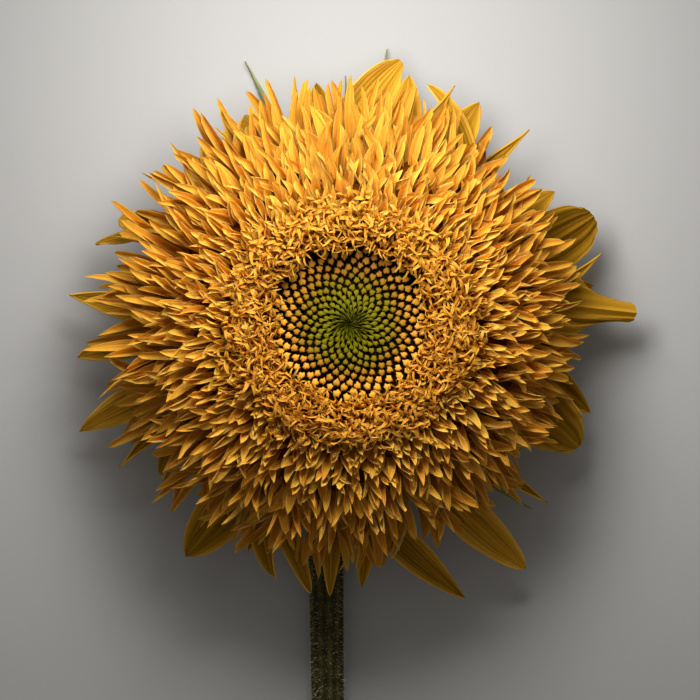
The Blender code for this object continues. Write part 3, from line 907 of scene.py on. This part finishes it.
def petal_tree(sizes, skin):
    tree, given = new_tree("Petal florets", sizes)
    geometry, number, height, across, face = cones(tree, given["Florets"], sides=8, rows=6)
    along = 1 - (1 - height) ** 1.4
    # Where each floret stands, from the disc outwards, and how far it has grown
    share = ((number + 0.5) / given["Florets"]) ** given["Crowding"]
    draw = lots(number, given["Seed"])
    azimuth = number * GOLDEN_ANGLE + draw(-0.04, 0.04, 0)
    angle = between(given, "angle", share)
    is_thin = draw(0.0, 1.0, 1).below(given["Thin ones"])
    pitch = between(given, "pitch", share**1.05) + draw(-0.22, 0.22, 2)
    grown = share**2.4
    more = azimuth.cosine() * given["More to the right"] + azimuth.sine() * given["More upwards"]
    length = (between(given, "length", grown) + grown * more) * draw(0.84, 1.08, 3)
    length = length + given["Sunk"]
    width = between(given, "width", share) * draw(0.75, 1.25, 4) * (1 - is_thin * 0.5)
    # Its own bends, turns, hollow and tip
    bend = draw(-0.75, 0.45, 5) * (share * 0.6 + 0.4)
    hook = draw(-0.8, 0.9, 13) * (1 - share * 0.5)
    sway = draw(-0.26, 0.26, 6)
    skew = draw(-1.0, 1.0, 7)
    yaw = skew * skew * skew * 0.65 + draw(-0.2, 0.2, 8)
    twist = draw(-0.7, 0.7, 9) * (1 + is_thin * 1.8)
    cup = draw(0.5, 1.7, 10)
    blunt = draw(0.30, 0.80, 14)
    # Its root, sunk in the mass, and its middle line, an arc from there
    root_radius = angle.cosine() * SHOULDER_HALF_WIDTH + SHOULDER_RADIUS
    root_radius = root_radius - pitch.cosine() * given["Sunk"]
    root_height = angle.sine() * SHOULDER_HALF_HEIGHT + SHOULDER_HEIGHT
    root_height = root_height - pitch.sine() * given["Sunk"]
    turn = bend * along
    chord = pitch + turn * 0.5
    run = length * along * (1 - turn * turn / 24)
    slope = pitch + turn
    spin = twist * along
    # Its width at each place, and how far it cups, waves and hooks there
    full = (along.at_most(0.5) * math.pi).sine() * 0.5 + 0.5
    point = (((along - 0.5).at_least(0) * math.pi).cosine()).at_least(0.0001) ** blunt
    half = width * 0.5 * full * point
    breadth = across * half / (cup * 0.25 + 1)
    edge = across.size()
    wave = (along * 9 + draw(0.0, 6.3, 11)).sine() * across * half * 0.22
    tip = (along - 0.5).at_least(0)
    lift = cup * half * edge**1.7 + face * given["Thickness"] * 0.5 * (1 - along * 0.5) + wave
    lift = lift + hook * length * tip * tip
    # The section twists along the arc
    rise = breadth * spin.sine() + lift * spin.cosine()
    outward = run * chord.cosine() - slope.sine() * rise
    upward = run * chord.sine() + slope.cosine() * rise + root_height
    sideways = sway * length * along * along + breadth * spin.cosine() - lift * spin.sine()
    outward, sideways = spun(outward, sideways, yaw)
    # tint is a random tone plus a lift for the inner petals, partly their younger colour and
    # partly painted light on petals that stand steep and crowded in shade
    geometry = stored(geometry, "tint", draw(0.0, 1.0, 12) + (1 - share) * 2.4)
    place = around_head(outward + root_radius, sideways, upward, azimuth)
    geometry = moved(geometry, place)
    return close_tree(tree, dressed(given["Geometry"], shaded_depths), dressed(geometry, skin))


def shoulder(angle):
    """Radius and height on the rounded section that the outer florets stand on."""
    radius = SHOULDER_RADIUS + SHOULDER_HALF_WIDTH * math.cos(angle)
    height = SHOULDER_HEIGHT + SHOULDER_HALF_HEIGHT * math.sin(angle)
    return radius, height


def shoulder_angle(radius):
    return math.acos((radius - SHOULDER_RADIUS) / SHOULDER_HALF_WIDTH)


def shaded_depth_material():
    """The crowded lower parts of the florets, seen only down in the gaps, coloured dark brown as
    painted shade.
    """
    material, tree, shader = principled("floret depths", 0.9, specular_ior_level=0.0)
    shade = grain_of(tree, 600, 3)
    coloured(shader, ramp(shade, (0.3, (0.06, 0.015, 0.001)), (0.7, (0.16, 0.045, 0.002))))
    bumped(shader, grain_of(tree, 900), 0.6, 0.0006)
    return material


# The florets' lower mass, dark as painted shade down in the gaps
shaded_depths = shaded_depth_material()


def build_petal_florets():
    stops = (
        (0.0, (0.56, 0.25, 0.026)),
        (0.3, (0.70, 0.33, 0.034)),
        (0.6, (0.80, 0.39, 0.040)),
        (0.95, (0.93, 0.54, 0.08)),
    )
    skin = petal_material("petal yellow", stops, vein_lines=16, rib_tone=0.0)
    inner = TUBE_ZONE_RADIUS + GAP
    rim = RECEPTACLE_RADIUS + GAP
    first = shoulder_angle(inner)
    last = math.radians(-10)
    lowered, steps = 0.0007, 8
    outer, underside = 0.048, 0.0275
    section = []
    for step in range(steps + 1):
        radius, height = shoulder(first + (last - first) * step / steps)
        section.append((max(radius - lowered, inner), height - lowered))
    section += [
        (outer, underside),
        (rim, underside),
        (rim, receptacle_top(rim) + GAP),
        (inner, receptacle_top(inner) + GAP),
    ]
    core = turned("petal_florets_mass", section, is_ring=True, sides=64)
    sizes = {
        "Florets": 2100,
        "Seed": 3,
        "Crowding": 1.7,
        "Thin ones": 0.12,
        "First angle": shoulder_angle(0.0292),
        "Last angle": math.radians(-5),
        "First pitch": math.radians(72),
        "Last pitch": math.radians(-13),
        "First length": 0.0055,
        "Last length": HEAD_REACH - SHOULDER_RADIUS - SHOULDER_HALF_WIDTH + 0.0006,
        "More to the right": -0.0048,
        "More upwards": -0.0010,
        "First width": 0.0026,
        "Last width": 0.0038,
        "Sunk": 0.003,
        "Thickness": 0.0004,
    }
    florets = plain_mesh(core, petal_tree(sizes, skin), sizes)
    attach(florets, "root")
    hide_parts("petal_florets")


build_petal_florets()

# The tubular florets: several hundred short open tubes, each with five thin lobes that curl
# every way, packed on the slope round the disc and leaning over it. Geometry Nodes shape each
# tube and each lobe out of a closed cone, and both find their floret by its number.

LOBES = 5
DIP_WIDTH = 0.0045  # of the dip in their bed, next to the disc
DIP_DEPTH = 0.0036


def curve_of(value, *levels):
    """A smooth function that goes through those levels at even steps from 0 to 1."""
    made = node(value.tree, "ShaderNodeFloatCurve", {"Value": value})
    line = made.mapping.curves[0]
    while len(line.points) < len(levels):
        line.points.new(0.5, 0.5)
    for number, (knot, level) in enumerate(zip(line.points, levels)):
        knot.location = (number / (len(levels) - 1), level)
        knot.handle_type = "AUTO"
    made.mapping.update()
    return Flow(made.outputs[0])


def placed_on_floret(given, floret, local_x, local_y, local_z):
    """Where a point of a floret's own frame lies, once the floret stands and leans."""
    draw = lots(floret, given["Seed"])
    share = (floret + 0.5) / given["Florets"]
    first = given["First radius"] * given["First radius"]
    last = given["Last radius"] * given["Last radius"]
    stray = draw(0.0, 1.0, 8)
    radius = (first + (last - first) * share**1.2) ** 0.5 + stray**3 * share * given["Stray"]
    lean = between(given, "pitch", share**0.5) + draw(-0.3, 0.3, 1)
    side_lean = draw(-0.35, 0.35, 2)
    height = local_z - given["Sunk"]
    # The bed under it is the rounded shoulder, with a dip next to the disc
    dip = (1 - (radius - DISC_RADIUS) / DIP_WIDTH).at_least(0)
    part = (radius - SHOULDER_RADIUS) / SHOULDER_HALF_WIDTH
    bed = (1 - part * part) ** 0.5 * SHOULDER_HALF_HEIGHT + SHOULDER_HEIGHT
    bed = bed - dip * dip * DIP_DEPTH
    outward = radius + height * lean.cosine() + local_x * lean.sine()
    upward = bed + height * lean.sine() - local_x * lean.cosine()
    sideways = local_y + height * side_lean
    azimuth = floret * GOLDEN_ANGLE + draw(-0.03, 0.03, 3)
    return around_head(outward, sideways, upward, azimuth)


def mouth_of(given, floret):
    """The radius, the height and the turn of a floret's mouth."""
    draw = lots(floret, given["Seed"])
    grown = floret / given["Florets"]
    radius = draw(0.85, 1.15, 4) * given["Mouth radius"] * (grown * 0.5 + 0.8)
    height = draw(0.80, 1.14, 5) * given["Height"] * (grown * 0.2 + 0.86)
    return radius, height, draw(0.0, math.tau, 6)


def tubes(tree, given):
    """The open tubes: up the outer wall, over the rim and down into the throat."""
    geometry, floret, along, across, face = cones(tree, given["Florets"], sides=6, rows=4)
    reach = curve_of(along, 0.50, 0.72, 1.0, 0.55, 0.0)
    rise = curve_of(along, 0.0, 0.60, 1.0, 0.80, 0.50)
    mouth, height, _ = mouth_of(given, floret)
    local_x = across * reach * mouth
    local_y = face * reach * mouth
    geometry = stored(geometry, "lobe", (rise - 0.4).at_least(0) * 0.5)
    geometry = stored(geometry, "tint", lots(floret, given["Seed"])(0.0, 1.0, 7))
    return moved(geometry, placed_on_floret(given, floret, local_x, local_y, rise * height))


def lobes(tree, given):
    """The lobes: thin channelled strips from the rim, each with its own curl and twist."""
    geometry, number, along, across, face = cones(tree, given["Florets"] * LOBES, sides=4, rows=5)
    floret = (number / LOBES + 0.001).work("FLOOR")
    draw = lots(number, given["Seed"] + 20)
    mouth, height, turn = mouth_of(given, floret)
    around = turn + (number - floret * LOBES) * (math.tau / LOBES)
    around = around + draw(-0.25, 0.25, 1)
    grown = floret / given["Florets"]
    length = draw(0.65, 1.25, 2) * given["Lobe length"]
    curls_in = draw(0.0, 1.0, 3).below(0.25)
    slope = draw(0.7, 1.4, 4)
    curl = draw(-4.2, -1.6, 5) * (1 - grown * 0.45) + curls_in * 5.2
    sway = draw(-0.6, 0.6, 6)
    twist = draw(-2.4, 2.4, 7)
    # The strip is an arc that turns by its curl, and its section twists along it
    now = slope + curl * along
    spin = twist * along + draw(-1.2, 1.2, 10)
    broad = draw(0.8, 1.2, 8) * (grown * 0.9 + 0.75)
    half = broad * given["Lobe width"] * 0.5 * (1 - along * 0.55)
    breadth = across * half
    lift = across.size() * half * 0.6 + face * given["Thickness"] * 0.5
    rise = breadth * spin.sine() + lift * spin.cosine()
    reach = length * (now.sine() - slope.sine()) / curl + mouth * 0.8 - now.sine() * rise
    local_z = length * (slope.cosine() - now.cosine()) / curl + height * 0.94
    local_z = local_z + now.cosine() * rise
    aside = sway * length * along * along + breadth * spin.cosine() - lift * spin.sine()
    local_x, local_y = spun(reach, aside, around)
    geometry = stored(geometry, "lobe", along * 0.3 + across * across * 0.35 + 0.3)
    geometry = stored(geometry, "tint", draw(0.0, 1.0, 9))
    return moved(geometry, placed_on_floret(given, floret, local_x, local_y, local_z))


def tube_tree(sizes, skin):
    tree, given = new_tree("Tube florets", sizes)
    florets = [dressed(part(tree, given), skin) for part in (tubes, lobes)]
    return close_tree(tree, dressed(given["Geometry"], shaded_depths), *florets)


def tube_material():
    """Bright yellow lobes over a deep orange tube and throat."""
    material, tree, shader = principled(
        "tube floret yellow",
        0.5,
        specular_ior_level=0.05,
        subsurface_weight=0.4,
        subsurface_radius=(1.0, 0.66, 0.10),
        subsurface_scale=0.0008,
    )
    lobe, tint = painted(tree, "lobe", "tint")
    tone = lobe + (tint - 0.5) * 0.3 + (grain_of(tree, 900) - 0.5) * 0.3
    colour = ramp(
        tone,
        (0.0, (0.26, 0.065, 0.004)),
        (0.3, (0.50, 0.17, 0.012)),
        (0.6, (0.68, 0.29, 0.028)),
        (1.0, (0.84, 0.42, 0.055)),
    )
    coloured(shader, colour)
    bumped(shader, grain_of(tree, 2200), 0.3, 0.0002)
    return material


def tube_bed(radius):
    dip = max(0, 1 - (radius - DISC_RADIUS) / DIP_WIDTH)
    return shoulder(shoulder_angle(radius))[1] - DIP_DEPTH * dip * dip


def build_tube_florets():
    inner = DISC_RADIUS + GAP
    radii = (inner, 0.0242, 0.0262, 0.031, TUBE_ZONE_RADIUS)
    lowered = 0.0006
    section = [(radius, tube_bed(radius) - lowered) for radius in radii]
    section += [
        (TUBE_ZONE_RADIUS, receptacle_top(TUBE_ZONE_RADIUS) + GAP),
        (inner, receptacle_top(inner) + GAP),
    ]
    core = turned("tube_florets_mass", section, is_ring=True, sides=64)
    sizes = {
        "Florets": 440,
        "Seed": 40,
        "First radius": inner + 0.0006,
        "Last radius": 0.0304,
        "Stray": 0.0062,
        "First pitch": math.radians(117),
        "Last pitch": math.radians(60),
        "Mouth radius": 0.00112,
        "Height": 0.0074,
        "Sunk": 0.0020,
        "Lobe length": 0.0036,
        "Lobe width": 0.00088,
        "Thickness": 0.00025,
    }
    florets = plain_mesh(core, tube_tree(sizes, tube_material()), sizes)
    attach(florets, "root")
    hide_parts("tube_florets")


build_tube_florets()

# The disc: closed floret buds in a spiral, which open from the outside inwards. The outer ring
# is golden brown, the middle green, and round the dimple they are still drop-shaped scales
# that lean in. One tree makes both parts, each over its own bed in painted shade.

DISC_HEIGHT = 0.0468
DISC_SWELL = 0.0012
DIMPLE_RADIUS = 0.0042
DIMPLE_DEPTH = 0.0026
GREEN_RADIUS = 0.0135
DISC_BUDS = 370
BARE_BUDS = 14  # of the spiral, left out in the middle of the dimple
BUDS_SUNK = 0.0016


def disc_surface(radius):
    """Height of the disc: a shallow cushion with a dimple in its middle."""
    share = radius / DISC_RADIUS
    dimple = DIMPLE_DEPTH * math.exp(-((radius / DIMPLE_RADIUS) ** 2))
    return DISC_HEIGHT + DISC_SWELL * (1 - share * share) - dimple


def bud_tree(sizes, skin):
    tree, given = new_tree("Buds", sizes)
    geometry, number, along, across, face = cones(tree, given["Buds"], sides=12, rows=5)
    number = number + given["First bud"]
    draw = lots(number, given["Seed"])
    # The nearer the middle a bud stands, the more it is a drop with its tail inwards
    ring = ((number + 0.6) / given["Buds in all"]) ** given["Crowding"]
    radius = ring * given["Last radius"]
    girth = curve_of(along, 0.62, 0.90, 1.0, 0.88, 0.50, 0.0)
    rise = curve_of(along, 0.0, 0.45, 0.74, 0.91, 0.98, 1.0)
    drop = (1 - ring / given["Drop zone"]).at_least(0).at_most(1) ** 0.5
    width = (ring * given["Width growth"] + given["Width"]) * draw(0.88, 1.06, 0)
    inner_side = (across * -1).at_least(0)
    tail = inner_side**6
    # Five blunt corners and a little unevenness make its outline
    bearing = face.work("ARCTAN2", across)
    corners = (bearing * 5).cosine() * -0.17 + 1
    corners = corners + (bearing * 3 + draw(0.0, 6.3, 5)).cosine() * 0.12
    stretch = (tail * drop * 3.4 + 1 + inner_side * 0.15) * corners
    narrowing = (1 - (inner_side * 1.3).at_most(1) * drop * 0.72) * corners
    tall = width * given["Steepness"] * draw(0.92, 1.08, 1)
    local_x = across * girth * width * 0.5 * stretch
    local_y = face * girth * width * 0.5 * narrowing
    local_z = rise * tall
    # It leans inwards, and stands on the curve that disc_surface gives
    lean = given["Lean"] + draw(-0.12, 0.12, 2)
    outward = radius + local_x - local_z * lean
    sideways = local_y + local_z * draw(-0.1, 0.1, 3) + local_x * 0.18 * drop
    share = radius / DISC_RADIUS
    from_dimple = radius / DIMPLE_RADIUS * radius / DIMPLE_RADIUS
    dimple = (from_dimple * -1).power_of_e() * DIMPLE_DEPTH
    ground = (1 - share * share) * DISC_SWELL + DISC_HEIGHT - dimple
    upward = ground - BUDS_SUNK + local_z + local_x * drop * -0.25
    azimuth = number * GOLDEN_ANGLE
    geometry = stored(geometry, "tint", draw(0.0, 1.0, 4))
    geometry = stored(geometry, "ring", ring)
    geometry = moved(geometry, around_head(outward, sideways, upward, azimuth))
    return close_tree(tree, dressed(given["Geometry"], shaded_disc_bed), dressed(geometry, skin))


def bud_material(name, *stops):
    """Waxy buds whose colour follows how far out they stand, with painted shade darkening them
    down their sides.
    """
    material, tree, shader = principled(name, 0.5, specular_ior_level=0.06)
    ring, along, tint = painted(tree, "ring", "along", "tint")
    tone = ring + (tint - 0.5) * 0.08 + (grain_of(tree, 1500) - 0.5) * 0.12
    # shade darkens each bud down its sides towards the gaps: painted shade
    shade = ramp(along, (0.25, (0.03, 0.02, 0.01)), (0.72, (1, 1, 1)))
    coloured(shader, mixed(1.0, ramp(tone, *stops), shade, "MULTIPLY"))
    bumped(shader, grain_of(tree, 1900), 0.35, 0.0002)
    return material


# The bed between the buds, near black as painted shade in the gaps
gap_shade_dark, gap_shade_lighter = (0.004, 0.003, 0.001), (0.016, 0.011, 0.003)
shaded_disc_bed = grainy("disc bed", 0.9, gap_shade_dark, gap_shade_lighter, 900, specular_ior_level=0.0)


def disc_part(name, inner, outer, skin, first_bud, last_bud, steps, sides):
    """The bed between two radii, turned from its section, with its share of the buds."""
    below, raised = RECEPTACLE_TOP + GAP, 0.0004
    radii = [inner + (outer - inner) * step / steps for step in range(steps + 1)]
    section = [(radius, disc_surface(radius) - BUDS_SUNK + raised) for radius in radii]
    section += [(outer, below), (inner, below)]
    sizes = {
        "Buds": last_bud - first_bud,
        "First bud": first_bud,
        "Buds in all": DISC_BUDS,
        "Seed": 70,
        "Crowding": 0.78,
        "Last radius": DISC_RADIUS - 0.0002,
        "Drop zone": 0.46,
        "Width": 0.00130,
        "Width growth": 0.00092,
        "Lean": 0.16,
        "Steepness": 1.15,
    }
    bed = turned(name, section, is_ring=inner > 0, sides=sides)
    return plain_mesh(bed, bud_tree(sizes, skin), sizes)


def build_disc():
    first_golden = round(DISC_BUDS * (GREEN_RADIUS / DISC_RADIUS) ** 1.25)
    green = bud_material(
        "green buds",
        (0.05, (0.085, 0.085, 0.001)),
        (0.35, (0.17, 0.150, 0.002)),
        (0.60, (0.23, 0.145, 0.005)),
    )
    place = ("disc_centre_scales", 0, GREEN_RADIUS)
    centre = disc_part(*place, green, BARE_BUDS, first_golden, steps=8, sides=48)
    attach(centre, "root")
    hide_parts("disc_centre")
    gold = bud_material(
        "golden buds",
        (0.60, (0.24, 0.143, 0.006)),
        (0.74, (0.43, 0.19, 0.014)),
        (0.92, (0.94, 0.43, 0.045)),
    )
    place = ("disc_buds_ring", GREEN_RADIUS + GAP, DISC_RADIUS)
    ring = disc_part(*place, gold, first_golden, DISC_BUDS, steps=6, sides=64)
    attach(ring, "root")
    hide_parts("disc_buds")


build_disc()

# The surface that the flower lies on, the soft lamps beyond and over the head's upper half,
# which stay out of every picture, and the camera, which looks straight down on the flower.


def build_studio():
    floor_size, clearance = 3.0, 0.0002
    bpy.ops.mesh.primitive_plane_add(size=floor_size, location=(HEAD_X, HEAD_Y, -clearance))
    floor = bpy.context.object
    floor.name = "floor"
    material, _, shader = principled("pale floor", 0.85)
    coloured(shader, (0.50, 0.49, 0.47, 1))
    floor.data.materials.append(material)
    world = bpy.data.worlds.new("studio")
    world.use_nodes = True
    sky = world.node_tree.nodes["Background"]
    sky.inputs["Color"].default_value = (1, 0.98, 0.95, 1)
    sky.inputs["Strength"].default_value = 0.155
    bpy.context.scene.world = world
    aimed_at = Vector((HEAD_X, HEAD_Y, 0.04))
    lights = (
        ("key light", (-0.06, 0.32, 0.31), 0.26, 0.34),
        ("fill light", (0.0, 0.122, 0.160), 0.10, 0.34),
        ("top light", (-0.004, 0.057, 0.13), 0.05, 0.079),
    )
    for name, place, size, power in lights:
        lamp = bpy.data.lights.new(name, "AREA")
        lamp.size = size
        lamp.energy = power
        stand = new_object(name, lamp)
        stand.visible_camera = False
        stand.location = Vector((HEAD_X, HEAD_Y, 0)) + Vector(place)
        stand.rotation_euler = (aimed_at - stand.location).to_track_quat("-Z", "Y").to_euler()


def build_camera():
    frame_width, middle_height, below_disc = 0.203, 0.040, 0.0078
    lens = bpy.data.cameras.new("camera")
    lens.lens = 150
    lens.sensor_width = 36
    lens.clip_start = 0.01
    camera = new_object("camera", lens)
    distance = frame_width / lens.sensor_width * lens.lens
    camera.location = (HEAD_X, HEAD_Y - below_disc, middle_height + distance)
    bpy.context.scene.camera = camera


build_studio()
build_camera()
bpy.context.scene.view_settings.view_transform = "Standard"
